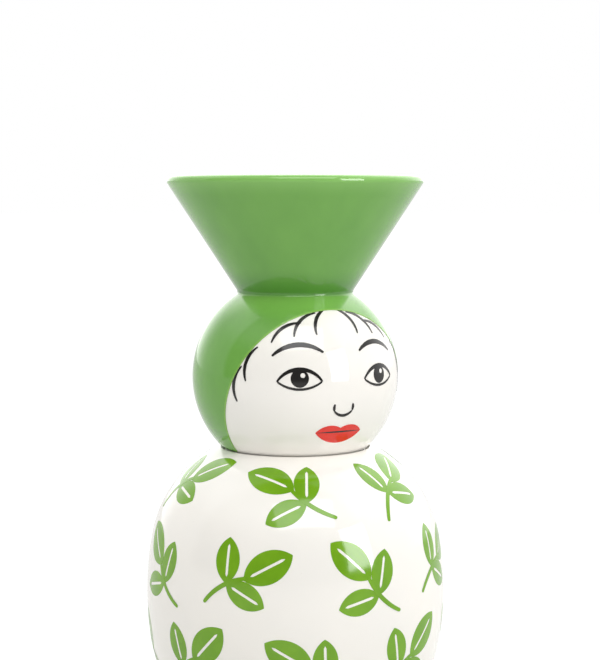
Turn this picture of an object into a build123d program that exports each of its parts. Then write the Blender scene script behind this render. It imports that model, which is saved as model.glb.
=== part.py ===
from build123d import *
import os
from math import acos, asin, cos, degrees, radians, sin, sqrt, tan

os.makedirs("parts", exist_ok=True)

# A vase in the form of a head on a rounded body, in millimetres.
# The body is one hollow glazed casting, and the head with its funnel is another.
# A spigot under the head drops into the body's mouth, on a soft ring in a recess.
# +Z is up, the face looks along -Y, and the origin is on the ground under the middle.

# Body
body_radius = 104.0
side_arc_radius = 209.0
side_half_angle = 11.0
shoulder_radius = 85.0
body_wall = 6.0
floor_thickness = 6.0
foot_radius = 56.0
foot_height = 2.4
foot_width = 5.5
foot_rounding = 0.8

# Seat of the head in the body's mouth
gallery_depth = 3.5
gallery_gap = 0.8
gallery_rounding = 1.2
mouth_gap = 1.5
mouth_rounding = 1.0
ring_thickness = 1.5
ring_gap = 0.8
ring_rounding = 0.3

# Head: a globe, a spigot below it and a funnel above it
globe_radius = 68.5
globe_offset = 2.7
underside_angle = 47.5
head_wall = 6.0
underside_width = 11.0
spigot_length = 16.0
spigot_rounding = 0.6
underside_rounding = 1.4
neck_radius = 38.9
neck_rounding = 2.6
flank_angle = 33.0
funnel_height = 79.9

# Coloured coats on the two castings
glaze_thickness = 0.5
glaze_hem_rise = 1.6
glaze_lip_overlap = 9.0
window_tilt = 22.0
window_half_angle = 65.0
paint_thickness = 0.3
print_thickness = 0.3

# Painted face, as sizes on the globe and directions from its middle
eye_width = 30.0
eye_rise = 8.2
eye_drop = 5.0
lid_thickness = 2.6
lid_end_thickness = 1.2
lower_lid_thickness = 1.6
iris_radius = 6.0
glint_radius = 1.6
eye_azimuth = 25.0
eye_elevation = 3.0
brow_width = 34.0
brow_rise = 6.0
brow_thickness = 3.4
brow_end_thickness = 1.4
brow_azimuth = 26.0
brow_elevation = 18.0
brow_tilt = 4.0
nose_width = 13.0
nose_drop = 3.2
nose_thickness = 2.0
nose_end_thickness = 1.2
nostril_height = 5.0
nose_elevation = -13.5
mouth_width = 34.0
upper_lip_height = 6.2
lower_lip_height = 8.0
parting_thickness = 1.3
mouth_elevation = -27.0
lock_length = 24.0
lock_rise = 4.0
lock_thickness = 2.4
lock_end_thickness = 1.0
lock_directions = [(9, 37, 62), (21, 35, 50), (33, 30, 38), (52, 12, 74), (59, 1, 82)]

# Leaf sprigs printed round the body
tip_leaf_length = 36.0
tip_leaf_width = 21.0
side_leaf_length = 30.0
side_leaf_width = 17.0
side_leaf_angle = 58.0
midrib_width = 1.8
stem_length = 36.0
stem_rise = 3.6
stem_thickness = 3.1
stem_end_thickness = 2.4
sprig_tilts = [-60.0, 45.0]
side_row_pairs = 4
side_row_angle = 8.0
shoulder_row_pairs = 3
shoulder_row_angle = 45.0
foot_row_angle = 40.0

full_turn = 360
half_turn = 180


# Where the head sits: its underside lies on the ring, and its globe clears the recess
globe_rise = globe_radius * sin(radians(underside_angle))
underside_radius = globe_offset + globe_radius * cos(radians(underside_angle))
spigot_radius = underside_radius - underside_width
edge_rise = gallery_depth - ring_thickness
globe_at_edge = globe_offset + sqrt(globe_radius**2 - (globe_rise - edge_rise) ** 2)
gallery_radius = globe_at_edge + gallery_gap
mouth_radius = spigot_radius + mouth_gap

# The body's section is a side arc and a tangent shoulder arc above and below it
shoulder_reach = side_arc_radius - shoulder_radius
shoulder_inset = body_radius - side_arc_radius + shoulder_reach * cos(radians(side_half_angle))
shoulder_rise = shoulder_reach * sin(radians(side_half_angle))
foot_drop = sqrt(shoulder_radius**2 - (foot_radius - shoulder_inset) ** 2)
dome_rise = sqrt(shoulder_radius**2 - (gallery_radius - shoulder_inset) ** 2)
body_middle = foot_height + foot_drop + shoulder_rise
side_centre = (body_radius - side_arc_radius, body_middle)
upper_centre = (shoulder_inset, body_middle + shoulder_rise)
lower_centre = (shoulder_inset, body_middle - shoulder_rise)
shelf_height = upper_centre[1] + dome_rise - gallery_depth
roof_height = shelf_height - body_wall
floor_height = foot_height + floor_thickness
foot_angle = degrees(asin(foot_drop / shoulder_radius))
dome_angle = degrees(asin(dome_rise / shoulder_radius))

# The head's section is a globe arc and a straight flank that ends in a round lip
seat_height = shelf_height + ring_thickness
globe_centre = (globe_offset, seat_height + globe_rise)
head_floor_height = seat_height + head_wall
spigot_tip_height = seat_height - spigot_length
bore_radius = spigot_radius - head_wall
neck_reach = neck_radius - globe_offset
neck_rise = sqrt(globe_radius**2 - neck_reach**2)
neck_height = globe_centre[1] + neck_rise
lip_radius = head_wall / 2
lip_height = neck_height + funnel_height - lip_radius
flank_distance = neck_reach * cos(radians(flank_angle)) - neck_rise * sin(radians(flank_angle))


def flank_point(height, skin):
    """Section point of the funnel's flank at a height, a skin's thickness out from it."""
    lean = (height - neck_height) * tan(radians(flank_angle))
    return (neck_radius + lean + skin / cos(radians(flank_angle)), height)


def neck_angle(skin):
    """Angle on the globe arc where it meets the flank, both a skin's thickness out."""
    return degrees(acos((flank_distance + skin) / (globe_radius + skin))) - flank_angle


def globe_angle(height, skin):
    """Angle on the globe arc at a height, the arc a skin's thickness out."""
    return degrees(asin((height - globe_centre[1]) / (globe_radius + skin)))


def corner(section, point):
    """The section's corner that lies nearest to a point."""
    return section.vertices().sort_by_distance(point)[0]


lip_centre = flank_point(lip_height, -lip_radius)


# Body casting: foot ring, outside, recess and mouth, inside, floor
with BuildPart() as body_vessel:
    with BuildSketch(Plane.XZ) as body_section:
        inner_shoulder = shoulder_radius - body_wall
        roof_angle = degrees(asin((roof_height - upper_centre[1]) / inner_shoulder))
        floor_angle = degrees(asin((lower_centre[1] - floor_height) / inner_shoulder))
        with BuildLine():
            foot_outside = Line((foot_radius, 0), (foot_radius, foot_height))
            CenterArc(lower_centre, shoulder_radius, -foot_angle, foot_angle - side_half_angle)
            CenterArc(side_centre, side_arc_radius, -side_half_angle, 2 * side_half_angle)
            dome = CenterArc(upper_centre, shoulder_radius, side_half_angle, dome_angle - side_half_angle)
            roof = CenterArc(upper_centre, inner_shoulder, side_half_angle, roof_angle - side_half_angle)
            Polyline(
                dome @ 1,
                (gallery_radius, shelf_height),
                (mouth_radius, shelf_height),
                (mouth_radius, roof_height),
                roof @ 1,
            )
            CenterArc(side_centre, side_arc_radius - body_wall, -side_half_angle, 2 * side_half_angle)
            basin = CenterArc(lower_centre, inner_shoulder, -floor_angle, floor_angle - side_half_angle)
            Polyline(
                basin @ 0,
                (0, floor_height),
                (0, foot_height),
                (foot_radius - foot_width, foot_height),
                (foot_radius - foot_width, 0),
                foot_outside @ 0,
            )
        make_face()
        fillet(corner(body_section, (foot_radius, 0)), radius=foot_rounding)
        fillet(corner(body_section, (foot_radius - foot_width, 0)), radius=foot_rounding)
        fillet(corner(body_section, dome @ 1), radius=gallery_rounding)
        fillet(corner(body_section, (mouth_radius, shelf_height)), radius=mouth_rounding)
        fillet(corner(body_section, (mouth_radius, roof_height)), radius=mouth_rounding)
    revolve(axis=Axis.Z)

body_vessel.part.label = "body_vessel"
export_step(body_vessel.part, "parts/body_vessel.step")


# Soft ring on the shelf, between the two castings
with BuildPart() as seat_ring:
    with BuildSketch(Plane.XY.offset(shelf_height)):
        Circle(underside_radius - ring_gap)
        Circle(mouth_radius + ring_gap, mode=Mode.SUBTRACT)
    extrude(amount=ring_thickness)
    fillet(seat_ring.edges().filter_by(GeomType.CIRCLE), radius=ring_rounding)

seat_ring.part.label = "seat_ring"
export_step(seat_ring.part, "parts/seat_ring.step")


# Head casting: spigot, globe, waist, funnel, rounded lip, and the same way back inside
with BuildPart() as head_vessel:
    with BuildSketch(Plane.XZ) as head_section:
        seat_angle = globe_angle(seat_height, 0)
        inner_globe = globe_radius - head_wall
        inner_floor_angle = globe_angle(head_floor_height, -head_wall)
        with BuildLine():
            globe = CenterArc(globe_centre, globe_radius, seat_angle, neck_angle(0) - seat_angle)
            lip = CenterArc(lip_centre, lip_radius, -flank_angle, half_turn)
            Line(globe @ 1, lip @ 0)
            hollow = CenterArc(
                globe_centre, inner_globe, inner_floor_angle, neck_angle(-head_wall) - inner_floor_angle
            )
            Line(lip @ 1, hollow @ 1)
            Polyline(
                hollow @ 0,
                (bore_radius, head_floor_height),
                (bore_radius, spigot_tip_height),
                (spigot_radius, spigot_tip_height),
                (spigot_radius, seat_height),
                globe @ 0,
            )
        make_face()
        fillet(corner(head_section, globe @ 1), radius=neck_rounding)
        fillet(corner(head_section, hollow @ 1), radius=neck_rounding + head_wall)
        fillet(corner(head_section, globe @ 0), radius=underside_rounding)
        fillet(corner(head_section, (spigot_radius, seat_height)), radius=spigot_rounding)
        fillet(corner(head_section, (spigot_radius, spigot_tip_height)), radius=spigot_rounding)
        fillet(corner(head_section, (bore_radius, spigot_tip_height)), radius=spigot_rounding)
        fillet(corner(head_section, (bore_radius, head_floor_height)), radius=spigot_rounding)
    revolve(axis=Axis.Z)

head_vessel.part.label = "head_vessel"
export_step(head_vessel.part, "parts/head_vessel.step")


def glaze_outline(skin):
    """One face of the green coat in section: up the globe, the flank and over the lip."""
    hem_angle = globe_angle(seat_height + glaze_hem_rise, skin)
    outer = CenterArc(globe_centre, globe_radius + skin, hem_angle, neck_angle(skin) - hem_angle)
    over = CenterArc(lip_centre, lip_radius + skin, -flank_angle, half_turn)
    Line(outer @ 1, over @ 0)
    inner = Line(over @ 1, flank_point(lip_height - glaze_lip_overlap, -head_wall - skin))
    return outer @ 0, outer @ 1, inner @ 1


# The white face is all that a flat dip line, tilted down, leaves bare of glaze on the globe
globe_middle = Vector(0, 0, globe_centre[1])
window_distance = globe_radius * cos(radians(window_half_angle))
window_way = Vector(0, -cos(radians(window_tilt)), -sin(radians(window_tilt)))
window_plane = Plane(globe_middle + window_way * window_distance, x_dir=(1, 0, 0), z_dir=window_way)
window_reach = globe_offset + globe_radius
window_radius = sqrt(window_reach**2 - window_distance**2) + 2 * glaze_thickness

# Green glaze on the funnel and the head, down to the dip line
with BuildPart() as green_glaze:
    with BuildSketch(Plane.XZ) as glaze_section:
        with BuildLine():
            hem_inside, neck_inside, end_inside = glaze_outline(0)
            hem_outside, neck_outside, end_outside = glaze_outline(glaze_thickness)
            Line(hem_inside, hem_outside)
            Line(end_inside, end_outside)
        make_face()
        fillet(corner(glaze_section, neck_inside), radius=neck_rounding)
        fillet(corner(glaze_section, neck_outside), radius=neck_rounding - glaze_thickness)
    revolve(axis=Axis.Z)
    with BuildSketch(window_plane):
        Circle(window_radius)
    extrude(amount=window_reach, mode=Mode.SUBTRACT)

green_glaze.part.label = "green_glaze"
export_step(green_glaze.part, "parts/green_glaze.step")


# A shell of paint all over the white face, from which each painted feature is cut
with BuildPart() as face_shell:
    with BuildSketch(Plane.XZ):
        shell_share = 0.95
        shell_angle = neck_angle(0) * shell_share
        with BuildLine():
            under = CenterArc(globe_centre, globe_radius, -shell_angle, 2 * shell_angle)
            over = CenterArc(globe_centre, globe_radius + paint_thickness, -shell_angle, 2 * shell_angle)
            Line(under @ 0, over @ 0)
            Line(under @ 1, over @ 1)
        make_face()
    revolve(axis=Axis.Z)
    with BuildSketch(window_plane):
        Circle(window_radius)
    extrude(amount=window_reach, mode=Mode.INTERSECT)


def face_plane(azimuth, elevation):
    """Plane through the globe's middle that faces a direction, x to the viewer's right."""
    across = Vector(cos(radians(azimuth)), sin(radians(azimuth)), 0)
    level = cos(radians(elevation))
    way = Vector(sin(radians(azimuth)) * level, -cos(radians(azimuth)) * level, sin(radians(elevation)))
    return Plane(globe_middle, x_dir=across, z_dir=way)


def stroke(width, rise, thickness, end_thickness):
    """A brush stroke along an arc, thick in the middle and thin at its ends."""
    half = width / 2
    tip = end_thickness / 2
    belly = thickness / 2
    with BuildSketch() as mark:
        with BuildLine():
            upper = ThreePointArc((-half, tip), (0, rise + belly), (half, tip))
            lower = ThreePointArc((-half, -tip), (0, rise - belly), (half, -tip))
            Line(upper @ 0, lower @ 0)
            Line(upper @ 1, lower @ 1)
        make_face()
    return mark.sketch


def almond_eye():
    """Lids, iris and glint of one eye, drawn about its middle."""
    with BuildSketch() as eye:
        add(stroke(eye_width, eye_rise, lid_thickness, lid_end_thickness))
        add(stroke(eye_width, -eye_drop, lower_lid_thickness, lid_end_thickness))
        iris_height = eye_rise - iris_radius
        with Locations((0, iris_height)):
            Circle(iris_radius)
        with Locations((iris_radius / 3, iris_height + iris_radius / 3)):
            Circle(glint_radius, mode=Mode.SUBTRACT)
    return eye.sketch


def lip_outline():
    """Both lips together: two lobes above and one long curve below."""
    half = mouth_width / 2
    dip_share = 0.68
    lobe_share = 0.42
    with BuildSketch() as lips_shape:
        with BuildLine():
            left_top = (-half * lobe_share, upper_lip_height)
            right_top = (half * lobe_share, upper_lip_height)
            left = ThreePointArc((-half, 0), left_top, (0, upper_lip_height * dip_share))
            right = ThreePointArc(left @ 1, right_top, (half, 0))
            ThreePointArc(right @ 1, (0, -lower_lip_height), left @ 0)
        make_face()
    return lips_shape.sketch


def nose_shape():
    """The nose's underside as one stroke, with a short stroke for each nostril's side."""
    with BuildSketch() as nose:
        add(stroke(nose_width, -nose_drop, nose_thickness, nose_end_thickness))
        with Locations((-nose_width / 2, nostril_height / 2), (nose_width / 2, nostril_height / 2)):
            Ellipse(nose_thickness / 2, nostril_height / 2)
    return nose.sketch


def painted(name, marks):
    """Press flat marks, each turned on its plane, through the paint shell and write the node."""
    with BuildPart() as feature:
        for plane, mark, turn in marks:
            with BuildSketch(plane):
                add(mark, rotation=turn)
            extrude(amount=globe_radius + globe_offset + paint_thickness)
        add(face_shell.part, mode=Mode.INTERSECT)
    feature.part.label = name
    export_step(feature.part, f"parts/{name}.step")


# Painted features, the viewer's left first
for side, side_name in ((-1, "left"), (1, "right")):
    eye_plane = face_plane(side * eye_azimuth, eye_elevation)
    painted(f"{side_name}_eye", [(eye_plane, almond_eye(), 0)])
    brow_mark = stroke(brow_width, brow_rise, brow_thickness, brow_end_thickness)
    brow_plane = face_plane(side * brow_azimuth, brow_elevation)
    painted(f"{side_name}_brow", [(brow_plane, brow_mark, -side * brow_tilt)])

painted("nose_line", [(face_plane(0, nose_elevation), nose_shape(), 0)])

parting_mark = stroke(mouth_width, parting_thickness, parting_thickness, parting_thickness / 2)
with BuildSketch() as lips_mark:
    add(lip_outline())
    add(parting_mark, mode=Mode.SUBTRACT)
mouth_plane = face_plane(0, mouth_elevation)
painted("lips", [(mouth_plane, lips_mark.sketch, 0)])
with BuildSketch() as parting_inside:
    add(parting_mark)
    add(lip_outline(), mode=Mode.INTERSECT)
painted("lip_parting", [(mouth_plane, parting_inside.sketch, 0)])

lock_mark = stroke(lock_length, lock_rise, lock_thickness, lock_end_thickness)
lock_marks = []
for side in (-1, 1):
    for azimuth, elevation, tilt in lock_directions:
        lock_marks.append((face_plane(side * azimuth, elevation), lock_mark, -side * tilt))
painted("hair_locks", lock_marks)


# A shell of print all over the body, from which the sprigs are cut
with BuildPart() as print_shell:
    with BuildSketch(Plane.XZ):
        ends = []
        with BuildLine():
            for skin in (0, print_thickness):
                low = CenterArc(
                    lower_centre, shoulder_radius + skin, -foot_angle, foot_angle - side_half_angle
                )
                CenterArc(side_centre, side_arc_radius + skin, -side_half_angle, 2 * side_half_angle)
                high = CenterArc(
                    upper_centre, shoulder_radius + skin, side_half_angle, dome_angle - side_half_angle
                )
                ends.append((low @ 0, high @ 1))
            Line(ends[0][0], ends[1][0])
            Line(ends[0][1], ends[1][1])
        make_face()
    revolve(axis=Axis.Z)


def leaf(length, width):
    """A pointed leaf that grows up from its foot, with its midrib left bare."""
    half = width / 2
    middle = length / 2
    vein_share = 0.66
    with BuildSketch() as blade:
        with BuildLine():
            ThreePointArc((0, 0), (-half, middle), (0, length))
            ThreePointArc((0, 0), (half, middle), (0, length))
        make_face()
        with Locations((0, middle)):
            SlotOverall(length * vein_share, midrib_width, rotation=90, mode=Mode.SUBTRACT)
    return blade.sketch


def sprig():
    """A bent stem with one leaf on its tip and one on each side, about the stem's tip."""
    side_share = 0.42
    bud = (-stem_rise, -stem_length * side_share)
    with BuildSketch() as shape:
        with Locations((0, -stem_length / 2)):
            add(stroke(stem_length, stem_rise, stem_thickness, stem_end_thickness), rotation=90)
        with Locations((0, -stem_thickness)):
            add(leaf(tip_leaf_length, tip_leaf_width))
        with Locations(Location(bud, side_leaf_angle), Location(bud, -side_leaf_angle)):
            add(leaf(side_leaf_length, side_leaf_width))
    return shape.sketch


def sprig_plane(azimuth, section_centre, arc_radius, elevation):
    """Plane on the body's face at an angle of a section arc, turned round the body."""
    reach = section_centre[0] + arc_radius * cos(radians(elevation))
    height = section_centre[1] + arc_radius * sin(radians(elevation))
    level = cos(radians(elevation))
    outward = Vector(sin(radians(azimuth)), -cos(radians(azimuth)), 0)
    across = Vector(cos(radians(azimuth)), sin(radians(azimuth)), 0)
    way = outward * level + Vector(0, 0, sin(radians(elevation)))
    return Plane(outward * reach + Vector(0, 0, height), x_dir=across, z_dir=way)


# Sprigs in four rows round the body, each row turned by half a step from the one below it
with BuildPart() as leaf_print:
    rows = [
        (lower_centre, shoulder_radius, -foot_row_angle, shoulder_row_pairs),
        (side_centre, side_arc_radius, -side_row_angle, side_row_pairs),
        (side_centre, side_arc_radius, side_row_angle, side_row_pairs),
        (upper_centre, shoulder_radius, shoulder_row_angle, shoulder_row_pairs),
    ]
    for row, (section_centre, arc_radius, elevation, pairs) in enumerate(rows):
        step = full_turn / (len(sprig_tilts) * pairs)
        lean = 1 - 2 * (row % 2)
        for column, tilt in enumerate(sprig_tilts):
            azimuth = step * (column - 1 + (row % 2) / 2)
            with BuildPart(mode=Mode.PRIVATE) as single:
                with BuildSketch(sprig_plane(azimuth, section_centre, arc_radius, elevation)):
                    add(sprig(), rotation=lean * tilt)
                extrude(amount=stem_length, both=True)
                add(print_shell.part, mode=Mode.INTERSECT)
            with PolarLocations(0, pairs):
                add(single.part)

leaf_print.part.label = "leaf_print"
export_step(leaf_print.part, "parts/leaf_print.step")
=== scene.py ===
from math import acos, asin, atan2, cos, degrees, hypot, pi, radians, sin, sqrt, tan

import bpy
from mathutils import Matrix, Vector


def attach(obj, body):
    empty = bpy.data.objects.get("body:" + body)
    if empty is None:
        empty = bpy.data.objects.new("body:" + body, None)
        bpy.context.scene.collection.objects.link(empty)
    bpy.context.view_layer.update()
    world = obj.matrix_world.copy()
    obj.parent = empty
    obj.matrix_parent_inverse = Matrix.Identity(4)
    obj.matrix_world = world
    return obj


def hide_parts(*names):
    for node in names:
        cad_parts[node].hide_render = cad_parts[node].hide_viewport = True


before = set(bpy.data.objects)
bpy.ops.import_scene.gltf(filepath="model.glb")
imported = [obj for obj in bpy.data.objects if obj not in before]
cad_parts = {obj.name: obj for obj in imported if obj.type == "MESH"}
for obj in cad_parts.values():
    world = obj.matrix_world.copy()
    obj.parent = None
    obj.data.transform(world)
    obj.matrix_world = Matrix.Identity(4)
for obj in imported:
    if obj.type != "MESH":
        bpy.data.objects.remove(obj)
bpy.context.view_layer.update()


# Body casting: a hollow stoneware vessel, slip-cast in a plaster mould and dipped in a clear
# gloss glaze over a white clay. It stands on a foot ring that is wiped bare before firing, and
# a recess round its mouth takes the head and the soft ring under it.
MM = 0.001
WALL = 6.0
BODY_RADIUS = 104.0
SIDE_RADIUS = 209.0
SIDE_ANGLE = 11.0
SHOULDER_RADIUS = 85.0
FOOT_RADIUS = 56.0
FOOT_WIDTH = 5.5
FOOT_HEIGHT = 2.4
FOOT_ROUNDING = 0.8
FOOT_ROOT_ROUNDING = 0.9
FOOT_CEILING_ROUNDING = 0.6
WIPE_HEIGHT = 0.7
WIPE_MARGIN = 1.0
BASIN_ROUNDING = 4.0
RECESS_DEPTH = 3.5
RECESS_ROUNDING = 1.3
MOUTH_ROUNDING = 1.0
SOFTENING = 0.5
SEAT_GAP = 0.8
SPIGOT_GAP = 1.5
UNDERSIDE_WIDTH = 11.0
GLOBE_RADIUS = 68.5
GLOBE_OFFSET = 2.7
ARC_STEP = 2.0
ARC_TURN = 10.0
STRAIGHT_STEP = 3.0
SPIN_STEPS = 256

# The frame's ring gives the heights of the seat and the reach of the head's underside on it
seat_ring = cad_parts["seat_ring"]
shelf_height = min(corner[2] for corner in seat_ring.bound_box) / MM
seat_height = max(corner[2] for corner in seat_ring.bound_box) / MM
underside_radius = max(corner[0] for corner in seat_ring.bound_box) / MM + SEAT_GAP
spigot_radius = underside_radius - UNDERSIDE_WIDTH
mouth_radius = spigot_radius + SPIGOT_GAP
roof_height = shelf_height - WALL
floor_height = FOOT_HEIGHT + WALL

# The recess clears the globe that sits in it
globe_height = seat_height + sqrt(GLOBE_RADIUS**2 - (underside_radius - GLOBE_OFFSET) ** 2)
edge_drop = globe_height - shelf_height - RECESS_DEPTH
recess_radius = GLOBE_OFFSET + sqrt(GLOBE_RADIUS**2 - edge_drop**2) + SEAT_GAP

# In section the side is one arc, with a tangent shoulder arc above and below it
shoulder_reach = SIDE_RADIUS - SHOULDER_RADIUS
shoulder_inset = BODY_RADIUS - SIDE_RADIUS + shoulder_reach * cos(radians(SIDE_ANGLE))
shoulder_rise = shoulder_reach * sin(radians(SIDE_ANGLE))
foot_drop = sqrt(SHOULDER_RADIUS**2 - (FOOT_RADIUS - shoulder_inset) ** 2)
body_middle = FOOT_HEIGHT + foot_drop + shoulder_rise
side_centre = (BODY_RADIUS - SIDE_RADIUS, body_middle)
upper_centre = (shoulder_inset, body_middle + shoulder_rise)
lower_centre = (shoulder_inset, body_middle - shoulder_rise)


def angle_at(height, centre, radius):
    """The angle on an arc at a height, in degrees."""
    return degrees(asin((height - centre[1]) / radius))


def arc(centre, radius, start, stop):
    """Points of a section along an arc between two angles in degrees, closer on a small arc."""
    length = abs(radians(stop - start)) * radius
    count = max(round(abs(stop - start) / ARC_TURN), round(length / ARC_STEP))
    angles = [radians(start + (stop - start) * i / count) for i in range(count + 1)]
    return [(centre[0] + radius * cos(a), centre[1] + radius * sin(a)) for a in angles]


def straight(*corners):
    """Points of a section along straight runs."""
    points = [corners[0]]
    for (r, z), (next_r, next_z) in zip(corners, corners[1:]):
        count = max(1, round(hypot(next_r - r, next_z - z) / STRAIGHT_STEP))
        for i in range(1, count + 1):
            points.append((r + (next_r - r) * i / count, z + (next_z - z) * i / count))
    return points


def trimmed(run, reach):
    """A section run without its last stretch, which is measured along it."""
    run = list(run)
    while len(run) > 1:
        (r, z), (last_r, last_z) = run[-2:]
        step = hypot(last_r - r, last_z - z)
        if step > reach:
            share = reach / step
            run[-1] = (last_r + (r - last_r) * share, last_z + (z - last_z) * share)
            break
        reach -= step
        run.pop()
    return run


def joined(*parts):
    """One outline from runs that meet end to end: run, reach of the rounded meeting, run, ..."""
    outline = list(parts[0])
    for reach, run in zip(parts[1::2], parts[2::2]):
        corner = run[0]
        outline = trimmed(outline, reach)
        rest = trimmed(run[::-1], reach)[::-1]
        first, last = outline[-1], rest[0]
        for t in (0.2, 0.4, 0.6, 0.8):
            near, middle, far = (1 - t) ** 2, 2 * t * (1 - t), t**2
            weighed = (near * a + middle * b + far * c for a, b, c in zip(first, corner, last))
            outline.append(tuple(weighed))
        outline += rest
    return outline


def turned(name, outline):
    """A piece turned about the vase's axis from its section, as on a jigger wheel."""
    bpy.ops.object.select_all(action="DESELECT")
    bpy.ops.mesh.primitive_plane_add(size=MM)
    piece = bpy.context.object
    piece.name = name
    bpy.ops.object.mode_set(mode="EDIT")
    bpy.ops.mesh.select_all(action="SELECT")
    bpy.ops.mesh.merge(type="CENTER")
    bpy.ops.transform.translate(value=(outline[0][0] * MM, 0, outline[0][1] * MM))
    for (r, z), (next_r, next_z) in zip(outline, outline[1:]):
        step = {"value": ((next_r - r) * MM, 0, (next_z - z) * MM)}
        bpy.ops.mesh.extrude_vertices_move(TRANSFORM_OT_translate=step)
    bpy.ops.mesh.select_all(action="SELECT")
    bpy.ops.mesh.spin(steps=SPIN_STEPS, angle=2 * pi, center=(0, 0, 0), axis=(0, 0, 1))
    bpy.ops.mesh.select_all(action="SELECT")
    bpy.ops.mesh.remove_doubles(threshold=0.01 * MM)
    bpy.ops.mesh.normals_make_consistent(inside=False)
    bpy.ops.object.mode_set(mode="OBJECT")
    return piece


def smoothed(piece, angle=32):
    """Shades a piece smooth, but for edges sharper than an angle in degrees."""
    bpy.ops.object.select_all(action="DESELECT")
    piece.select_set(True)
    bpy.context.view_layer.objects.active = piece
    bpy.ops.object.shade_smooth_by_angle(angle=radians(angle))


inner_shoulder = SHOULDER_RADIUS - WALL
foot_angle = angle_at(FOOT_HEIGHT, lower_centre, SHOULDER_RADIUS)
dome_angle = angle_at(shelf_height + RECESS_DEPTH, upper_centre, SHOULDER_RADIUS)
roof_angle = angle_at(roof_height, upper_centre, inner_shoulder)
basin_angle = angle_at(floor_height, lower_centre, inner_shoulder)
foot_inside = FOOT_RADIUS - FOOT_WIDTH
basin = arc(lower_centre, inner_shoulder, -SIDE_ANGLE, basin_angle)
body_outline = joined(
    straight((0, FOOT_HEIGHT), (foot_inside, FOOT_HEIGHT)),
    FOOT_CEILING_ROUNDING,
    straight((foot_inside, FOOT_HEIGHT), (foot_inside, 0)),
    FOOT_ROUNDING,
    straight((foot_inside, 0), (FOOT_RADIUS, 0)),
    FOOT_ROUNDING,
    straight((FOOT_RADIUS, 0), (FOOT_RADIUS, FOOT_HEIGHT)),
    FOOT_ROOT_ROUNDING,
    arc(lower_centre, SHOULDER_RADIUS, foot_angle, -SIDE_ANGLE),
    SOFTENING,
    arc(side_centre, SIDE_RADIUS, -SIDE_ANGLE, SIDE_ANGLE),
    SOFTENING,
    arc(upper_centre, SHOULDER_RADIUS, SIDE_ANGLE, dome_angle),
    RECESS_ROUNDING,
    straight((recess_radius, shelf_height + RECESS_DEPTH), (recess_radius, shelf_height)),
    SOFTENING,
    straight((recess_radius, shelf_height), (mouth_radius, shelf_height)),
    MOUTH_ROUNDING,
    straight((mouth_radius, shelf_height), (mouth_radius, roof_height)),
    MOUTH_ROUNDING,
    arc(upper_centre, inner_shoulder, roof_angle, SIDE_ANGLE),
    SOFTENING,
    arc(side_centre, SIDE_RADIUS - WALL, SIDE_ANGLE, -SIDE_ANGLE),
    SOFTENING,
    basin,
    BASIN_ROUNDING,
    straight(basin[-1], (0, floor_height)),
)
body_casting = turned("body_casting", body_outline)


def from_hex(code):
    """A colour written as sRGB hex, in the linear values that a shader takes."""
    parts = [int(code[i : i + 2], 16) / 255 for i in (1, 3, 5)]
    linear = [p / 12.92 if p <= 0.04045 else ((p + 0.055) / 1.055) ** 2.4 for p in parts]
    return (*linear, 1.0)


def new_material(name):
    """An empty material with its shader, and the place on the object that patterns read."""
    material = bpy.data.materials.new(name)
    material.use_nodes = True
    tree = material.node_tree
    shader = tree.nodes["Principled BSDF"]
    return material, tree, shader, tree.nodes.new("ShaderNodeTexCoord").outputs["Object"]


def fill(tree, node, inputs):
    """Fills a node's inputs with values or links."""
    for key, value in inputs.items():
        if isinstance(value, bpy.types.NodeSocket):
            tree.links.new(value, node.inputs[key])
        else:
            node.inputs[key].default_value = value


def add(tree, kind, inputs, **settings):
    """Adds a shader node, sets it and fills its inputs."""
    made = tree.nodes.new(kind)
    for key, value in settings.items():
        setattr(made, key, value)
    fill(tree, made, inputs)
    return made


def maths(tree, operation, *values):
    """The result of an operation on values or links."""
    return add(tree, "ShaderNodeMath", dict(enumerate(values)), operation=operation).outputs[0]


def noise(tree, place, span, detail):
    """Noise with features about a span in millimetres across."""
    inputs = {"Vector": place, "Scale": 1 / (span * MM), "Detail": detail}
    return add(tree, "ShaderNodeTexNoise", inputs).outputs[0]


def ramp(tree, value, low, high, start=0.0, stop=1.0, curve="LINEAR"):
    """A result that goes from start to stop while a value goes from low to high."""
    inputs = {"Value": value, "From Min": low, "From Max": high, "To Min": start, "To Max": stop}
    return add(tree, "ShaderNodeMapRange", inputs, interpolation_type=curve).outputs[0]


def between(tree, length, low, high, share=1.0):
    """A share that comes in smoothly between two lengths in millimetres."""
    return ramp(tree, length, low * MM, high * MM, 0.0, share, "SMOOTHSTEP")


def blended(tree, share, first, second):
    """The first colour with a share of the second in it, each a link or a hex code."""
    first, second = (from_hex(c) if isinstance(c, str) else c for c in (first, second))
    return add(tree, "ShaderNodeMix", {0: share, 6: first, 7: second}, data_type="RGBA").outputs[2]


def finish(tree, shader, colour, relief, depth, roughness, ior):
    """Gives a surface its colour, its small relief with a depth in millimetres, and its gloss."""
    bump = add(tree, "ShaderNodeBump", {"Height": relief, "Distance": depth * MM}).outputs[0]
    fill(tree, shader, {"Base Color": colour, "Normal": bump, "Roughness": roughness, "IOR": ior})


# Noise mostly keeps to this range, which a ramp spreads into a pattern's full contrast
CONTRAST = (0.3, 0.7)

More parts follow.
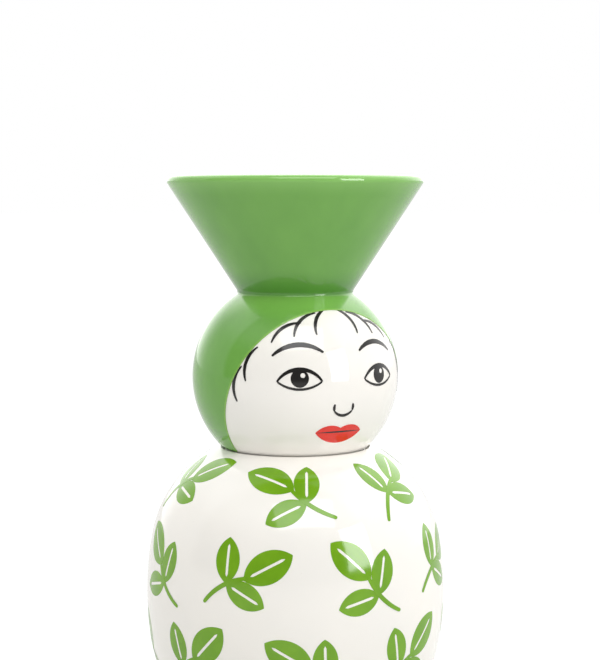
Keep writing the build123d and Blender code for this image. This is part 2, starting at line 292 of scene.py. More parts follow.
# Clear gloss glaze on white stoneware: the clay shows warm where the glaze is thin and a little
# cooler where it has pooled, and the fired surface has a faint orange peel that softens edges
# of reflections. Pale iron specks, a few tenths of a millimetre wide, lie under the glaze.
POOLING_SPAN = 70.0
POOLING_CONTRAST = (0.35, 0.65)
SPECK_SPACING = 9.0
SPECK_EDGE = (0.014, 0.03)
SPECK_SHARE = 0.35
PEEL_SPACING = 11.0
PEEL_DEPTH = 0.03
GLAZE_IOR = 1.52
white_glaze, tree, shader, place = new_material("clear_gloss_glaze_on_white_stoneware")
pooling = ramp(tree, noise(tree, place, POOLING_SPAN, 2.0), *POOLING_CONTRAST)
tint = blended(tree, pooling, "#FAF6EF", "#F6F3ED")
speck_grid = {"Vector": place, "Scale": 1 / (SPECK_SPACING * MM)}
specks = add(tree, "ShaderNodeTexVoronoi", speck_grid, feature="F1")
speck = ramp(tree, specks.outputs["Distance"], *SPECK_EDGE, SPECK_SHARE, 0.0)
speckled = blended(tree, speck, tint, "#B9B09E")
peel = noise(tree, place, PEEL_SPACING, 1.0)
finish(tree, shader, speckled, peel, PEEL_DEPTH, roughness=0.05, ior=GLAZE_IOR)

# Bare stoneware: where the foot is wiped the fired clay is matt and slightly sandy
GRIT_SIZE = 1.2
GRIT_DEPTH = 0.06
CLAY_IOR = 1.5
bare_clay, tree, shader, place = new_material("bare_fired_stoneware")
grit = noise(tree, place, GRIT_SIZE, 4.0)
clay_tint = blended(tree, grit, "#DDD6C6", "#EBE5D8")
finish(tree, shader, clay_tint, grit, GRIT_DEPTH, roughness=0.72, ior=CLAY_IOR)

body_casting.data.materials.append(white_glaze)
body_casting.data.materials.append(bare_clay)
for face in body_casting.data.polygons:
    reach = hypot(face.center.x, face.center.y)
    if face.center.z < WIPE_HEIGHT * MM and reach > (foot_inside - WIPE_MARGIN) * MM:
        face.material_index = 1
smoothed(body_casting)
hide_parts("body_vessel")
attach(body_casting, "vessel")


# Soft ring: a flat silicone washer, die-cut from sheet, that lies loose on the shelf round the
# mouth and keeps the glazed head from grinding on the glazed body. The frame's own solid shows.
BLOOM_SPAN = 6.0
RUBBER_ROUGHNESS = (0.55, 0.7)
RUBBER_IOR = 1.41
rubber, tree, shader, place = new_material("die_cut_silicone_sheet")
bloom = noise(tree, place, BLOOM_SPAN, 3.0)
bloom_tint = blended(tree, bloom, "#161616", "#1F1F1E")
matt = ramp(tree, bloom, *CONTRAST, *RUBBER_ROUGHNESS)
fill(tree, shader, {"Base Color": bloom_tint, "Roughness": matt, "IOR": RUBBER_IOR})
for position in range(len(seat_ring.material_slots)):
    seat_ring.material_slots[position].material = rubber


# Head casting: a second slip-cast vessel, a globe with a short spigot under it and a wide
# funnel above, all one hollow. Its white glaze shows on the face and inside the funnel.
NECK_RADIUS = 38.9
NECK_ROUNDING = 2.4
INNER_NECK_ROUNDING = 7.0
FLANK_ANGLE = 33.0
FUNNEL_HEIGHT = 79.9
LIP_SOFTENING = 0.2
SPIGOT_LENGTH = 16.0
SPIGOT_ROUNDING = 0.7
SPIGOT_ROOT_ROUNDING = 0.6
UNDERSIDE_ROUNDING = 0.8

globe_centre = (GLOBE_OFFSET, globe_height)
neck_reach = NECK_RADIUS - GLOBE_OFFSET
neck_rise = sqrt(GLOBE_RADIUS**2 - neck_reach**2)
neck_height = globe_height + neck_rise
flank_distance = neck_reach * cos(radians(FLANK_ANGLE)) - neck_rise * sin(radians(FLANK_ANGLE))
lip_radius = WALL / 2
lip_height = neck_height + FUNNEL_HEIGHT - lip_radius
bore_radius = spigot_radius - WALL
spigot_tip = seat_height - SPIGOT_LENGTH
head_floor = seat_height + WALL


def flank_point(height, skin):
    """A point of the funnel's flank in section, a skin's thickness out from the casting."""
    lean = (height - neck_height) * tan(radians(FLANK_ANGLE))
    return (NECK_RADIUS + lean + skin / cos(radians(FLANK_ANGLE)), height)


def neck_angle(skin):
    """The angle on the globe's arc at which the flank meets it, both a skin's thickness out."""
    return degrees(acos((flank_distance + skin) / (GLOBE_RADIUS + skin))) - FLANK_ANGLE


lip_centre = flank_point(lip_height, -lip_radius)
outer_neck = neck_angle(0)
inner_neck = neck_angle(-WALL)
seat_angle = angle_at(seat_height, globe_centre, GLOBE_RADIUS)
floor_angle = angle_at(head_floor, globe_centre, GLOBE_RADIUS - WALL)
outer_globe = arc(globe_centre, GLOBE_RADIUS, seat_angle, outer_neck)
lip = arc(lip_centre, lip_radius, -FLANK_ANGLE, 180 - FLANK_ANGLE)
inner_globe = arc(globe_centre, GLOBE_RADIUS - WALL, inner_neck, floor_angle)
bore_middle = (bore_radius, spigot_tip + SPIGOT_LENGTH / 2)
head_outline = joined(
    straight(bore_middle, (bore_radius, spigot_tip)),
    SPIGOT_ROUNDING,
    straight((bore_radius, spigot_tip), (spigot_radius, spigot_tip)),
    SPIGOT_ROUNDING,
    straight((spigot_radius, spigot_tip), (spigot_radius, seat_height)),
    SPIGOT_ROOT_ROUNDING,
    straight((spigot_radius, seat_height), outer_globe[0]),
    UNDERSIDE_ROUNDING,
    outer_globe,
    NECK_ROUNDING,
    straight(outer_globe[-1], lip[0]),
    LIP_SOFTENING,
    lip,
    LIP_SOFTENING,
    straight(lip[-1], inner_globe[0]),
    INNER_NECK_ROUNDING,
    inner_globe,
    UNDERSIDE_ROUNDING,
    straight(inner_globe[-1], (bore_radius, head_floor)),
    UNDERSIDE_ROUNDING,
    straight((bore_radius, head_floor), bore_middle),
)
head_casting = turned("head_casting", head_outline)
head_casting.data.materials.append(white_glaze)
smoothed(head_casting)
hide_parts("head_vessel")
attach(head_casting, "head")


# Green coat: the head is dipped funnel first in a leaf-green gloss glaze, tilted, so that the
# dip line is a flat circle round the face. The coat is a third of a millimetre thick, ends in
# a soft step, and is a paler line just behind it, where it ran thin.
COAT_SKIN = 0.38
COAT_THICKNESS = 0.3
COAT_EDGE = 0.1
COAT_HEM = 1.7
COAT_OVERLAP = 8.8
DIP_TILT = 22.0
DIP_HALF_ANGLE = 65.0

dip_way = Vector((0, -cos(radians(DIP_TILT)), -sin(radians(DIP_TILT))))
dip_distance = GLOBE_RADIUS * cos(radians(DIP_HALF_ANGLE))
dip_middle = Vector((0, 0, globe_height * MM)) + dip_way * dip_distance * MM
coat_neck = neck_angle(COAT_SKIN)
coat_radius = GLOBE_RADIUS + COAT_SKIN
hem_angle = angle_at(seat_height + COAT_HEM, globe_centre, coat_radius)
coat_globe = arc(globe_centre, coat_radius, hem_angle, coat_neck)
coat_lip = arc(lip_centre, lip_radius + COAT_SKIN, -FLANK_ANGLE, 180 - FLANK_ANGLE)
coat_outline = joined(
    coat_globe,
    NECK_ROUNDING,
    straight(coat_globe[-1], coat_lip[0]),
    LIP_SOFTENING,
    coat_lip,
    LIP_SOFTENING,
    straight(coat_lip[-1], flank_point(lip_height - COAT_OVERLAP, -WALL - COAT_SKIN)),
)
green_coat = turned("green_coat", coat_outline)
bpy.ops.object.mode_set(mode="EDIT")
bpy.ops.mesh.select_mode(type="FACE")
bpy.ops.mesh.select_all(action="DESELECT")
bpy.ops.object.mode_set(mode="OBJECT")
for face in green_coat.data.polygons:
    face.select = face.center.z < neck_height * MM
bpy.ops.object.mode_set(mode="EDIT")
bpy.ops.mesh.bisect(plane_co=dip_middle, plane_no=dip_way, clear_outer=True)
bpy.ops.object.mode_set(mode="OBJECT")
solid = green_coat.modifiers.new("coat", "SOLIDIFY")
solid.thickness = COAT_THICKNESS * MM
solid.offset = -1
rim = green_coat.modifiers.new("rim", "BEVEL")
rim.width = COAT_EDGE * MM
rim.segments = 2
rim.limit_method = "ANGLE"
rim.angle_limit = radians(60)
bpy.ops.object.modifier_apply(modifier="coat")
bpy.ops.object.modifier_apply(modifier="rim")

# Leaf-green gloss glaze: deep and even where it lies thick. It is darker in the foot of the
# funnel, where it pooled, with painted shade of the waist crease in that darkening. It is paler
# where it ran thin and the white clay shows through: on the shoulder just under the waist, with
# painted light there too, towards the rolled lip, with a painted highlight there too, and at the
# dip line. A reach and a full mark are where a tone begins and where it is complete, and a share
# is how much of it shows.
CLOUD_SPAN = 24.0
CLOUD_STRETCH = (1.0, 1.0, 0.35)
WAIST_BELOW = 1.5
WAIST_ABOVE = 0.5
POOL_SHADE_REACH = 19.0
POOL_SHADE_FULL = 3.0
POOL_SHADE_SHARE = 0.85
DRAIN_LIGHT_REACH = 16.0
DRAIN_LIGHT_FULL = 3.0
DRAIN_LIGHT_SHARE = 0.5
LIP_LIGHT_REACH = 11.0
LIP_LIGHT_FULL = 0.2
LIP_LIGHT_SHARE = 0.55
DIP_REACH = 1.3
DIP_FULL = 0.3
DIP_SHARE = 0.6
DIP_RUN = 0.5
DIP_RUN_SPAN = 5.0
COAT_PEEL_SPACING = 14.0
COAT_PEEL_DEPTH = 0.04
hood_glaze, tree, shader, place = new_material("leaf_green_gloss_glaze")
flow = add(tree, "ShaderNodeMapping", {"Vector": place, "Scale": CLOUD_STRETCH}).outputs[0]
clouds = ramp(tree, noise(tree, flow, CLOUD_SPAN, 3.0), *CONTRAST)
deep = blended(tree, clouds, "#69A345", "#71AB4A")
height = add(tree, "ShaderNodeSeparateXYZ", {"Vector": place}).outputs["Z"]
above = between(tree, height, neck_height - WAIST_BELOW, neck_height + WAIST_ABOVE)
below = maths(tree, "SUBTRACT", 1.0, above)
# Painted shade and pooled glaze: the funnel darkens towards the waist crease
pool_and_shade = between(tree, height, neck_height + POOL_SHADE_REACH, neck_height + POOL_SHADE_FULL, POOL_SHADE_SHARE)
pooled_and_shaded = blended(tree, maths(tree, "MULTIPLY", pool_and_shade, above), deep, "#528E35")
# Painted light and thin glaze: the shoulder under the waist is paler, as if lit from above
drain_and_light = between(tree, height, neck_height - DRAIN_LIGHT_REACH, neck_height - DRAIN_LIGHT_FULL, DRAIN_LIGHT_SHARE)
drained_and_lit = blended(tree, maths(tree, "MULTIPLY", drain_and_light, below), pooled_and_shaded, "#86C159")
lip_top = lip_height + lip_radius
# Painted highlight and thin glaze: the funnel pales towards its rolled lip
thin_lit_lip = between(tree, height, lip_height - LIP_LIGHT_REACH, lip_top + LIP_LIGHT_FULL, LIP_LIGHT_SHARE)
lip_lit = blended(tree, thin_lit_lip, drained_and_lit, "#92CA6C")
from_dip = add(tree, "ShaderNodeVectorMath", {0: place, 1: tuple(dip_middle)}, operation="SUBTRACT")
dip_spot = {0: from_dip.outputs[0], 1: tuple(dip_way)}
past_dip = add(tree, "ShaderNodeVectorMath", dip_spot, operation="DOT_PRODUCT").outputs["Value"]
run = maths(tree, "MULTIPLY_ADD", noise(tree, place, DIP_RUN_SPAN, 1.0), DIP_RUN * MM, past_dip)
dip_line = between(tree, run, -DIP_REACH, -DIP_FULL, DIP_SHARE)
on_globe = maths(tree, "LESS_THAN", height, neck_height * MM)
edged = blended(tree, maths(tree, "MULTIPLY", dip_line, on_globe), lip_lit, "#8FBF55")
coat_peel = noise(tree, place, COAT_PEEL_SPACING, 1.0)
finish(tree, shader, edged, coat_peel, COAT_PEEL_DEPTH, roughness=0.06, ior=GLAZE_IOR)

green_coat.data.materials.append(hood_glaze)
smoothed(green_coat)
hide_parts("green_glaze")
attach(green_coat, "head")


# Painted face: eyes, brows, nose and hair are brushed on the fired white glaze in black enamel
# and fired again, so each stroke lies a tenth of a millimetre proud, with a rounded, tapering end.
# A stroke's four sizes are its length, the rise of its arc, and its thickness in the middle and
# at its ends, and a direction is an azimuth and an elevation from the globe's middle.
ENAMEL_LIFT = 0.12
ENAMEL_THICKNESS = 0.1
STAND_OFF = 8.0
STROKE_STEPS = 36
LONG_STROKE_STEPS = 48
IRIS_STEPS = 64
NOSTRIL_STEPS = 16
EYE_RISE = 8.2
UPPER_LID = (30.0, EYE_RISE, 2.6, 1.2)
LOWER_LID = (29.4, -5.0, 1.6, 1.2)
IRIS_RADIUS = 6.0
GLINT_RADIUS = 1.6
EYE_DIRECTION = (25, 3)
BROW = (34, 6, 3.4, 1.4)
BROW_DIRECTION = (26, 18)
BROW_TILT = 4
NOSE_BASE = (13, -3.2, 2.0, 1.2)
NOSTRIL = (5, 0.4, 1.9, 1.0)
NOSTRIL_PLACE = (6.6, 2.4)
NOSE_ELEVATION = -13.5
LOCK = (24, 4, 2.4, 1.0)
LOCK_DIRECTIONS = ((9, 37, 62), (21, 35, 50), (33, 30, 38), (52, 12, 74), (59, 1, 82))


def face_place(azimuth, elevation, turn):
    """The place of a mark that faces a direction from the globe's middle, turned on its plane."""
    a, e, t = radians(azimuth), radians(elevation), radians(turn)
    way = Vector((sin(a) * cos(e), -cos(a) * cos(e), sin(e)))
    level = Vector((cos(a), sin(a), 0))
    across = level * cos(t) + way.cross(level) * sin(t)
    start = Vector((0, 0, globe_height)) + way * (GLOBE_RADIUS + GLOBE_OFFSET + STAND_OFF)
    turned_to = Matrix((across, way.cross(across), way)).transposed().to_4x4()
    return Matrix.Translation(start * MM) @ turned_to


def bend(start, middle, stop):
    """The circle's arc through three flat points, as a function of the share along it."""
    (ax, ay), (bx, by), (cx, cy) = start, middle, stop
    d = 2 * (ax * (by - cy) + bx * (cy - ay) + cx * (ay - by))
    a2, b2, c2 = ax**2 + ay**2, bx**2 + by**2, cx**2 + cy**2
    x = (a2 * (by - cy) + b2 * (cy - ay) + c2 * (ay - by)) / d
    y = (a2 * (cx - bx) + b2 * (ax - cx) + c2 * (bx - ax)) / d
    radius = hypot(ax - x, ay - y)
    first, mid, last = (atan2(p[1] - y, p[0] - x) for p in (start, middle, stop))
    sweep = (last - first) % (2 * pi)
    if (mid - first) % (2 * pi) > sweep:
        sweep -= 2 * pi
    return lambda t: (x + radius * cos(first + sweep * t), y + radius * sin(first + sweep * t))


def brushed(length, rise, thickness, end_thickness):
    """The two edges of a brush stroke along an arc, with round ends that taper from its belly."""
    half = length / 2
    spine = bend((-half, 0), (0, rise), (half, 0))
    run = length + 2 * rise**2 / length

    def edge(t, side):
        x, y = spine(t)
        ahead, behind = spine(t + 0.001), spine(t - 0.001)
        dx, dy = ahead[0] - behind[0], ahead[1] - behind[1]
        size = hypot(dx, dy)
        belly = end_thickness + (thickness - end_thickness) * max(0, sin(pi * t)) ** 0.9
        near = min(min(t, 1 - t) * run / (end_thickness / 2), 1)
        w = side * belly / 2 * sqrt(1 - (1 - near) ** 2)
        return (x - dy / size * w, y + dx / size * w)

    return (lambda t: edge(t, -1)), (lambda t: edge(t, 1))


def patch(low, high, along, across, x=0, y=0, turn=0):
    """A flat mark between two edge curves, moved and turned on its plane in mm and degrees."""
    bpy.ops.object.select_all(action="DESELECT")
    bpy.ops.mesh.primitive_grid_add(x_subdivisions=along, y_subdivisions=across, size=2)
    mark = bpy.context.object
    for vertex in mark.data.vertices:
        t = (1 - cos(pi * (vertex.co.x + 1) / 2)) / 2
        (low_x, low_y), (high_x, high_y) = low(t), high(t)
        s = (vertex.co.y + 1) / 2
        vertex.co = ((low_x + (high_x - low_x) * s) * MM, (low_y + (high_y - low_y) * s) * MM, 0)
    moved = Matrix.Translation((x * MM, y * MM, 0))
    mark.matrix_world = moved @ Matrix.Rotation(radians(turn), 4, "Z")
    bpy.ops.object.transform_apply(location=True, rotation=True, scale=True)
    return mark


def stroke(sizes, *spot, along=STROKE_STEPS):
    """One flat brush stroke of four sizes, at its spot and turn on its plane."""
    return patch(*brushed(*sizes), along, 4, *spot)


def drawn(marks):
    """Flat marks joined into one drawing, with their doubles merged."""
    bpy.ops.object.select_all(action="DESELECT")
    for mark in marks:
        mark.select_set(True)
    bpy.context.view_layer.objects.active = marks[0]
    if len(marks) > 1:
        bpy.ops.object.join()
    bpy.ops.object.mode_set(mode="EDIT")
    bpy.ops.mesh.select_all(action="SELECT")
    bpy.ops.mesh.remove_doubles(threshold=0.004 * MM)
    bpy.ops.object.mode_set(mode="OBJECT")
    return bpy.context.object


def laid(drawing, place, casting):
    """A flat drawing stood off a casting at its place, then pressed straight onto it."""
    bpy.ops.object.select_all(action="DESELECT")
    drawing.select_set(True)
    bpy.context.view_layer.objects.active = drawing
    drawing.matrix_world = place
    wrap = drawing.modifiers.new("wrap", "SHRINKWRAP")
    wrap.target = casting
    wrap.wrap_method = "PROJECT"
    wrap.use_project_z = True
    wrap.use_negative_direction = True
    wrap.use_positive_direction = False
    wrap.wrap_mode = "ABOVE_SURFACE"
    wrap.offset = ENAMEL_LIFT * MM
    bpy.ops.object.modifier_apply(modifier="wrap")
    bpy.ops.object.transform_apply(location=True, rotation=True, scale=True)
    return drawing


def fired(name, drawings, material, node, body):
    """Laid drawings joined into one piece, with the enamel's thickness and finish."""
    piece = drawn(drawings)
    piece.name = name
    solid = piece.modifiers.new("enamel", "SOLIDIFY")
    solid.thickness = ENAMEL_THICKNESS * MM
    solid.offset = 1
    bpy.ops.object.modifier_apply(modifier="enamel")
    piece.data.materials.append(material)
    smoothed(piece)
    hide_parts(node)
    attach(piece, body)
    return piece


# Black on-glaze enamel: a dense gloss black, a shade thinner and browner where the brush dragged
DRAG_SPAN = 3.0
DRAG_DEPTH = 0.01
ENAMEL_IOR = 1.5
black_enamel, tree, shader, place = new_material("black_on_glaze_enamel")
drag = noise(tree, place, DRAG_SPAN, 3.0)
drag_tint = blended(tree, drag, "#141312", "#211F1D")
finish(tree, shader, drag_tint, drag, DRAG_DEPTH, roughness=0.12, ior=ENAMEL_IOR)


def ring_edge(x, y, radius):
    """A circle as an edge curve."""
    return lambda t: (x + radius * cos(2 * pi * t), y + radius * sin(2 * pi * t))


for side, side_name in ((-1, "left"), (1, "right")):
    iris_height = EYE_RISE - IRIS_RADIUS
    glint = ring_edge(IRIS_RADIUS / 3, iris_height + IRIS_RADIUS / 3, GLINT_RADIUS)
    eye = drawn(
        [
            stroke(UPPER_LID, along=LONG_STROKE_STEPS),
            stroke(LOWER_LID, along=LONG_STROKE_STEPS),
            patch(glint, ring_edge(0, iris_height, IRIS_RADIUS), IRIS_STEPS, 6),
        ]
    )
    azimuth, elevation = EYE_DIRECTION
    laid(eye, face_place(side * azimuth, elevation, 0), head_casting)
    eye_name, brow_name = f"{side_name}_eye", f"{side_name}_brow"
    fired(f"{eye_name}_enamel", [eye], black_enamel, eye_name, "head")
    azimuth, elevation = BROW_DIRECTION
    brow = stroke(BROW, along=LONG_STROKE_STEPS)
    laid(brow, face_place(side * azimuth, elevation, -side * BROW_TILT), head_casting)
    fired(f"{brow_name}_enamel", [brow], black_enamel, brow_name, "head")

nostril_x, nostril_y = NOSTRIL_PLACE
length, rise, *thicknesses = NOSTRIL
nose = drawn(
    [
        stroke(NOSE_BASE),
        stroke(NOSTRIL, -nostril_x, nostril_y, 90, along=NOSTRIL_STEPS),
        stroke((length, -rise, *thicknesses), nostril_x, nostril_y, 90, along=NOSTRIL_STEPS),
    ]
)
laid(nose, face_place(0, NOSE_ELEVATION, 0), head_casting)
fired("nose_enamel", [nose], black_enamel, "nose_line", "head")

# Locks of hair grow out from under the green coat, so each is cut off at the dip line
locks = []
for side in (-1, 1):
    for azimuth, elevation, tilt in LOCK_DIRECTIONS:
        lock = laid(stroke(LOCK), face_place(side * azimuth, elevation, -side * tilt), head_casting)
        bpy.ops.object.mode_set(mode="EDIT")
        bpy.ops.mesh.select_all(action="SELECT")
        bpy.ops.mesh.bisect(plane_co=dip_middle, plane_no=dip_way, clear_inner=True)
        bpy.ops.object.mode_set(mode="OBJECT")
        locks.append(lock)
fired("hair_enamel", locks, black_enamel, "hair_locks", "head")


# Lips: filled in with red enamel as an upper and a lower lip, with a black line between them,
# all three fired onto the white glaze like the rest of the face.
MOUTH_ELEVATION = -27
MOUTH_HALF = 17.0
UPPER_LIP = 6.2
LOWER_LIP = 8.0
LOBE_SHARE = 0.42
BOW_SHARE = 0.68
PARTING_LOW = 0.65
PARTING_HIGH = 1.95
LIP_STEPS = 60
lip_place = face_place(0, MOUTH_ELEVATION, 0)
lip_left, lip_right = (-MOUTH_HALF, 0), (MOUTH_HALF, 0)
lip_bow = (0, UPPER_LIP * BOW_SHARE)
upper_left = bend(lip_left, (-MOUTH_HALF * LOBE_SHARE, UPPER_LIP), lip_bow)
upper_right = bend(lip_bow, (MOUTH_HALF * LOBE_SHARE, UPPER_LIP), lip_right)
lower_edge = bend(lip_left, (0, -LOWER_LIP), lip_right)
parting_high = bend(lip_left, (0, PARTING_HIGH), lip_right)
parting_low = bend(lip_left, (0, PARTING_LOW), lip_right)


def upper_edge(t):
    """The upper lip's two lobes as one edge curve."""
    return upper_left(2 * t) if t < 0.5 else upper_right(2 * t - 1)


# Red on-glaze enamel: bright and even, a touch deeper where the colour was laid on thick
LOAD_SPAN = 5.0
LOAD_DEPTH = 0.02
red_enamel, tree, shader, place = new_material("red_on_glaze_enamel")
load = noise(tree, place, LOAD_SPAN, 2.0)
load_tint = blended(tree, load, "#EA3527", "#DF2B20")
finish(tree, shader, load_tint, load, LOAD_DEPTH, roughness=0.12, ior=ENAMEL_IOR)
upper_lip = patch(parting_high, upper_edge, LIP_STEPS, 5)
lower_lip = patch(lower_edge, parting_low, LIP_STEPS, 6)
lips = laid(drawn([upper_lip, lower_lip]), lip_place, head_casting)
fired("lips_enamel", [lips], red_enamel, "lips", "head")
parting = laid(patch(parting_low, parting_high, LIP_STEPS, 2), lip_place, head_casting)
fired("lip_parting_enamel", [parting], black_enamel, "lip_parting", "head")


# Leaf sprigs: a two-leaf spray with a tip leaf, printed in green enamel as a water-slide
# transfer and set in four rows round the body. One sprig is drawn, and the rest are its copies.
TIP_LEAF = (36.0, 21.0)
TIP_LEAF_FOOT = -3.1
SIDE_LEAF = (30.0, 17.0)
SIDE_LEAF_ANGLE = 58
SIDE_LEAF_SHARE = 0.42
STEM_LENGTH = 36.0
STEM_RISE = 3.6
STEM_THICKNESS = (3.1, 2.4)
STEM_STEPS = 24
LEAF_STEPS = 40
MIDRIB = 1.8
MIDRIB_START = 0.17
SPRIG_TILTS = (-60, 45)
SPRIG_STAND_OFF = 12.0


def leaf(length, width, *spot):
    """Both halves of a pointed leaf, with its midrib left bare between them."""
    outer = bend((0, 0), (-width / 2, length / 2), (0, length))

    def rib(t):
        """The midrib's edge, a straight slot with round ends."""
        near = min(max(min(t, 1 - t) - MIDRIB_START, 0) * length / MIDRIB * 2, 1)
        return (-MIDRIB / 2 * sqrt(1 - (1 - near) ** 2), t * length)

    def mirrored(edge):
        return lambda t: (-edge(t)[0], edge(t)[1])

    left_half = patch(outer, rib, LEAF_STEPS, 6, *spot)
    right_half = patch(mirrored(rib), mirrored(outer), LEAF_STEPS, 6, *spot)
    return [left_half, right_half]


def sprig_place(azimuth, centre, radius, elevation, turn):
    """The place of a sprig on the body, a little off its face, and turned on it."""
    a, e, t = radians(azimuth), radians(elevation), radians(turn)
    outward = Vector((sin(a), -cos(a), 0))
    level = Vector((cos(a), sin(a), 0))
    way = outward * cos(e) + Vector((0, 0, sin(e)))
    rise = way.cross(level)
    across = level * cos(t) + rise * sin(t)
    reach, height = centre[0] + radius * cos(e), centre[1] + radius * sin(e)
    start = outward * reach + Vector((0, 0, height)) + way * SPRIG_STAND_OFF
    turned_to = Matrix((across, way.cross(across), way)).transposed().to_4x4()
    return Matrix.Translation(start * MM) @ turned_to


bud = (-STEM_RISE, -STEM_LENGTH * SIDE_LEAF_SHARE)
stem = stroke((STEM_LENGTH, STEM_RISE, *STEM_THICKNESS), 0, -STEM_LENGTH / 2, 90, along=STEM_STEPS)
tip_leaf = leaf(*TIP_LEAF, 0, TIP_LEAF_FOOT)
left_leaf = leaf(*SIDE_LEAF, *bud, SIDE_LEAF_ANGLE)
right_leaf = leaf(*SIDE_LEAF, *bud, -SIDE_LEAF_ANGLE)
first_sprig = drawn([stem, *tip_leaf, *left_leaf, *right_leaf])

# A row is an arc of the body's section, the angle on that arc, and the number of its sprigs
sprig_rows = (
    (lower_centre, SHOULDER_RADIUS, -40, 6),
    (side_centre, SIDE_RADIUS, -8, 8),
    (side_centre, SIDE_RADIUS, 8, 8),
    (upper_centre, SHOULDER_RADIUS, 45, 6),
)
sprigs = []
for row, (centre, radius, elevation, count) in enumerate(sprig_rows):
    for column in range(count):
        sprig = first_sprig.copy()
        sprig.data = first_sprig.data.copy()
        bpy.context.collection.objects.link(sprig)
        azimuth = 360 / count * (column - 1 + (row % 2) / 2)
        turn = (1 - 2 * (row % 2)) * SPRIG_TILTS[column % 2]
        laid(sprig, sprig_place(azimuth, centre, radius, elevation, turn), body_casting)
        sprigs.append(sprig)
bpy.data.objects.remove(first_sprig)

# Green printed enamel: a screen-printed transfer, even, with a faint mottle from how the screen's
# mesh let the colour through, drawn far coarser than the mesh so that it shows
MOTTLE_SPAN = 16.0
MOTTLE_DEPTH = 0.02
print_enamel, tree, shader, place = new_material("screen_printed_green_enamel")
mottle = noise(tree, place, MOTTLE_SPAN, 4.0)
mottle_tint = blended(tree, ramp(tree, mottle, *CONTRAST), "#6A9F0C", "#77AB16")
finish(tree, shader, mottle_tint, mottle, MOTTLE_DEPTH, roughness=0.1, ior=ENAMEL_IOR)
fired("leaf_print_enamel", sprigs, print_enamel, "leaf_print", "vessel")


# Studio table: white paper that runs out of sight, under and behind the vase. It is matt under
# light, and seen straight or in the glaze it shows near white. Its radius is in metres.
TABLE_RADIUS = 30.0
PAPER_TOOTH = 4.0
PAPER_GLOW = 1.12
GLOW_SHARE = 0.82
MIRRORED_SHARE = 0.4
bpy.ops.object.select_all(action="DESELECT")
bpy.ops.mesh.primitive_circle_add(vertices=96, radius=TABLE_RADIUS, fill_type="NGON")
table = bpy.context.object
table.name = "table_top"
paper, tree, shader, place = new_material("white_seamless_paper")
tree.nodes.remove(shader)
sheet = blended(tree, noise(tree, place, PAPER_TOOTH, 2.0), "#DADAD9", "#DEDEDD")
matt_white = add(tree, "ShaderNodeBsdfDiffuse", {"Color": sheet}).outputs[0]
glow = add(tree, "ShaderNodeEmission", {"Color": (1, 1, 1, 1), "Strength": PAPER_GLOW}).outputs[0]
rays = add(tree, "ShaderNodeLightPath", {}).outputs
seen = maths(tree, "MULTIPLY_ADD", rays["Is Glossy Ray"], MIRRORED_SHARE, rays["Is Camera Ray"])
seen_all = maths(tree, "MAXIMUM", seen, rays["Is Transmission Ray"])
lift = maths(tree, "MULTIPLY", seen_all, GLOW_SHARE)
surface = add(tree, "ShaderNodeMixShader", {0: lift, 1: matt_white, 2: glow}).outputs[0]
fill(tree, tree.nodes["Material Output"], {"Surface": surface})
table.data.materials.append(paper)

# Studio walls: bright behind the vase and overhead, and a dim room round the camera that ends at
# an upright edge on the left, all of which the glaze mirrors. The ceiling leaves a gap straight
# above, so that level faces aren't lit past white. Each edge is given by the cosines of its
# directions, against the room's middle for the walls and against straight up for the ceiling.
VIEW_AZIMUTH = radians(-27.4)
ROOM_TURN = radians(12)
ROOM_EDGE = (0.2, 0.34)
ROOM_DIM = 0.25
WALL_BRIGHT = 0.98
BACKDROP_EDGE = (-0.3, -0.9)
BACKDROP_BRIGHT = 1.2
BACKDROP_LIT_SHARE = 0.3
CEILING_EDGE = (0.4, 0.75)
ZENITH_EDGE = (0.75, 0.97)
CEILING_BRIGHT = 0.8
camera_way = Vector((sin(VIEW_AZIMUTH), -cos(VIEW_AZIMUTH), 0))
room_azimuth = VIEW_AZIMUTH - ROOM_TURN
room_way = (sin(room_azimuth), -cos(room_azimuth), 0)
world = bpy.data.worlds.new("white_studio")
bpy.context.scene.world = world
world.use_nodes = True
tree = world.node_tree
way = tree.nodes.new("ShaderNodeTexCoord").outputs["Generated"]
flat = add(tree, "ShaderNodeVectorMath", {0: way, 1: (1, 1, 0)}, operation="MULTIPLY")
level = add(tree, "ShaderNodeVectorMath", {0: flat.outputs[0]}, operation="NORMALIZE")
room_spot = {0: level.outputs[0], 1: room_way}
facing = add(tree, "ShaderNodeVectorMath", room_spot, operation="DOT_PRODUCT").outputs["Value"]
upward = add(tree, "ShaderNodeSeparateXYZ", {"Vector": way}).outputs["Z"]
rays = add(tree, "ShaderNodeLightPath", {}).outputs
room = ramp(tree, facing, *ROOM_EDGE, WALL_BRIGHT, ROOM_DIM, "SMOOTHSTEP")
backdrop = ramp(tree, facing, *BACKDROP_EDGE, 0.0, BACKDROP_BRIGHT, "SMOOTHSTEP")
ceiling = ramp(tree, upward, *CEILING_EDGE, 0.0, CEILING_BRIGHT, "SMOOTHSTEP")
zenith = ramp(tree, upward, *ZENITH_EDGE, 0.0, CEILING_BRIGHT, "SMOOTHSTEP")
lit_share = ramp(tree, rays["Is Glossy Ray"], 0.0, 1.0, BACKDROP_LIT_SHARE, 1.0)
walled = maths(tree, "MULTIPLY_ADD", backdrop, lit_share, room)
around = maths(tree, "SUBTRACT", maths(tree, "ADD", walled, ceiling), zenith)
plain = add(tree, "ShaderNodeMix", {0: rays["Is Camera Ray"], 2: around, 3: 1.0}, data_type="FLOAT")
fill(tree, tree.nodes["Background"], {"Color": (1, 1, 1, 1), "Strength": plain.outputs[0]})


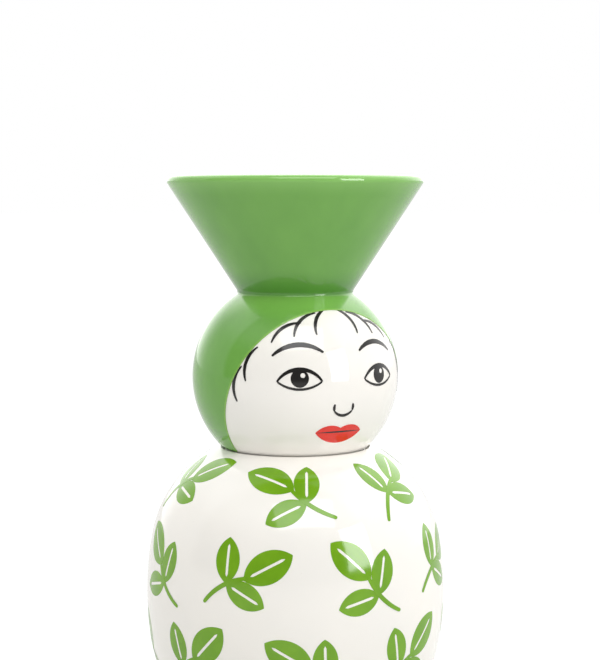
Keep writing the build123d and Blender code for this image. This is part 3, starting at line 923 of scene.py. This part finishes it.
# Lamps: a softbox on the right of the camera, whose bright tube shows in the glaze but adds no
# light, and a larger softbox high over the camera that fills the shadows. Sizes are in metres.
LAMP_AIM = 0.24
SIDE_BOX = {"azimuth": 50, "elevation": 15, "width": 0.56, "height": 0.82}
OVERHEAD_BOX = {"azimuth": 10, "elevation": 50, "width": 1.1, "height": 0.7}


def softbox(name, azimuth, elevation, width, height, distance, radiance, mirrored_only=False):
    """A rectangular lamp aimed at the vase, whose face has one brightness wherever it stands."""
    a, e = VIEW_AZIMUTH + radians(azimuth), radians(elevation)
    way = Vector((sin(a) * cos(e), -cos(a) * cos(e), sin(e)))
    lamp = bpy.data.lights.new(name, "AREA")
    lamp.shape = "RECTANGLE"
    lamp.size = width
    lamp.size_y = height
    lamp.energy = radiance * pi * width * height
    box = bpy.data.objects.new(name, lamp)
    bpy.context.collection.objects.link(box)
    box.location = Vector((0, 0, LAMP_AIM)) + way * distance
    box.rotation_euler = way.to_track_quat("Z", "Y").to_euler()
    box.visible_diffuse = not mirrored_only


softbox("side_box", **SIDE_BOX, distance=1.5, radiance=1.2)
softbox("side_box_tube", **SIDE_BOX, distance=1.49, radiance=8.5, mirrored_only=True)
softbox("overhead_box", **OVERHEAD_BOX, distance=1.4, radiance=3.1)

# Camera: a long lens just under the height of the lip, tipped down by under five degrees.
# Its place is in metres, its lens in millimetres and its angles in degrees.
CAMERA_DISTANCE = 1.1161
CAMERA_HEIGHT = 0.3770
CAMERA_LENS = 87.79
SENSOR_WIDTH = 36.0
PITCH = 4.823
YAW = 0.17
camera = bpy.data.cameras.new("camera")
camera.sensor_fit = "AUTO"
camera.sensor_width = SENSOR_WIDTH
camera.lens = CAMERA_LENS
view = bpy.data.objects.new("camera", camera)
bpy.context.collection.objects.link(view)
view.location = camera_way * CAMERA_DISTANCE + Vector((0, 0, CAMERA_HEIGHT))
ahead = -camera_way
right = ahead.cross(Vector((0, 0, 1)))
level_way = ahead * cos(radians(YAW)) + right * sin(radians(YAW))
look = level_way * cos(radians(PITCH)) - Vector((0, 0, sin(radians(PITCH))))
view.rotation_euler = look.to_track_quat("-Z", "Y").to_euler()
bpy.context.scene.camera = view
bpy.context.scene.view_settings.view_transform = "Standard"
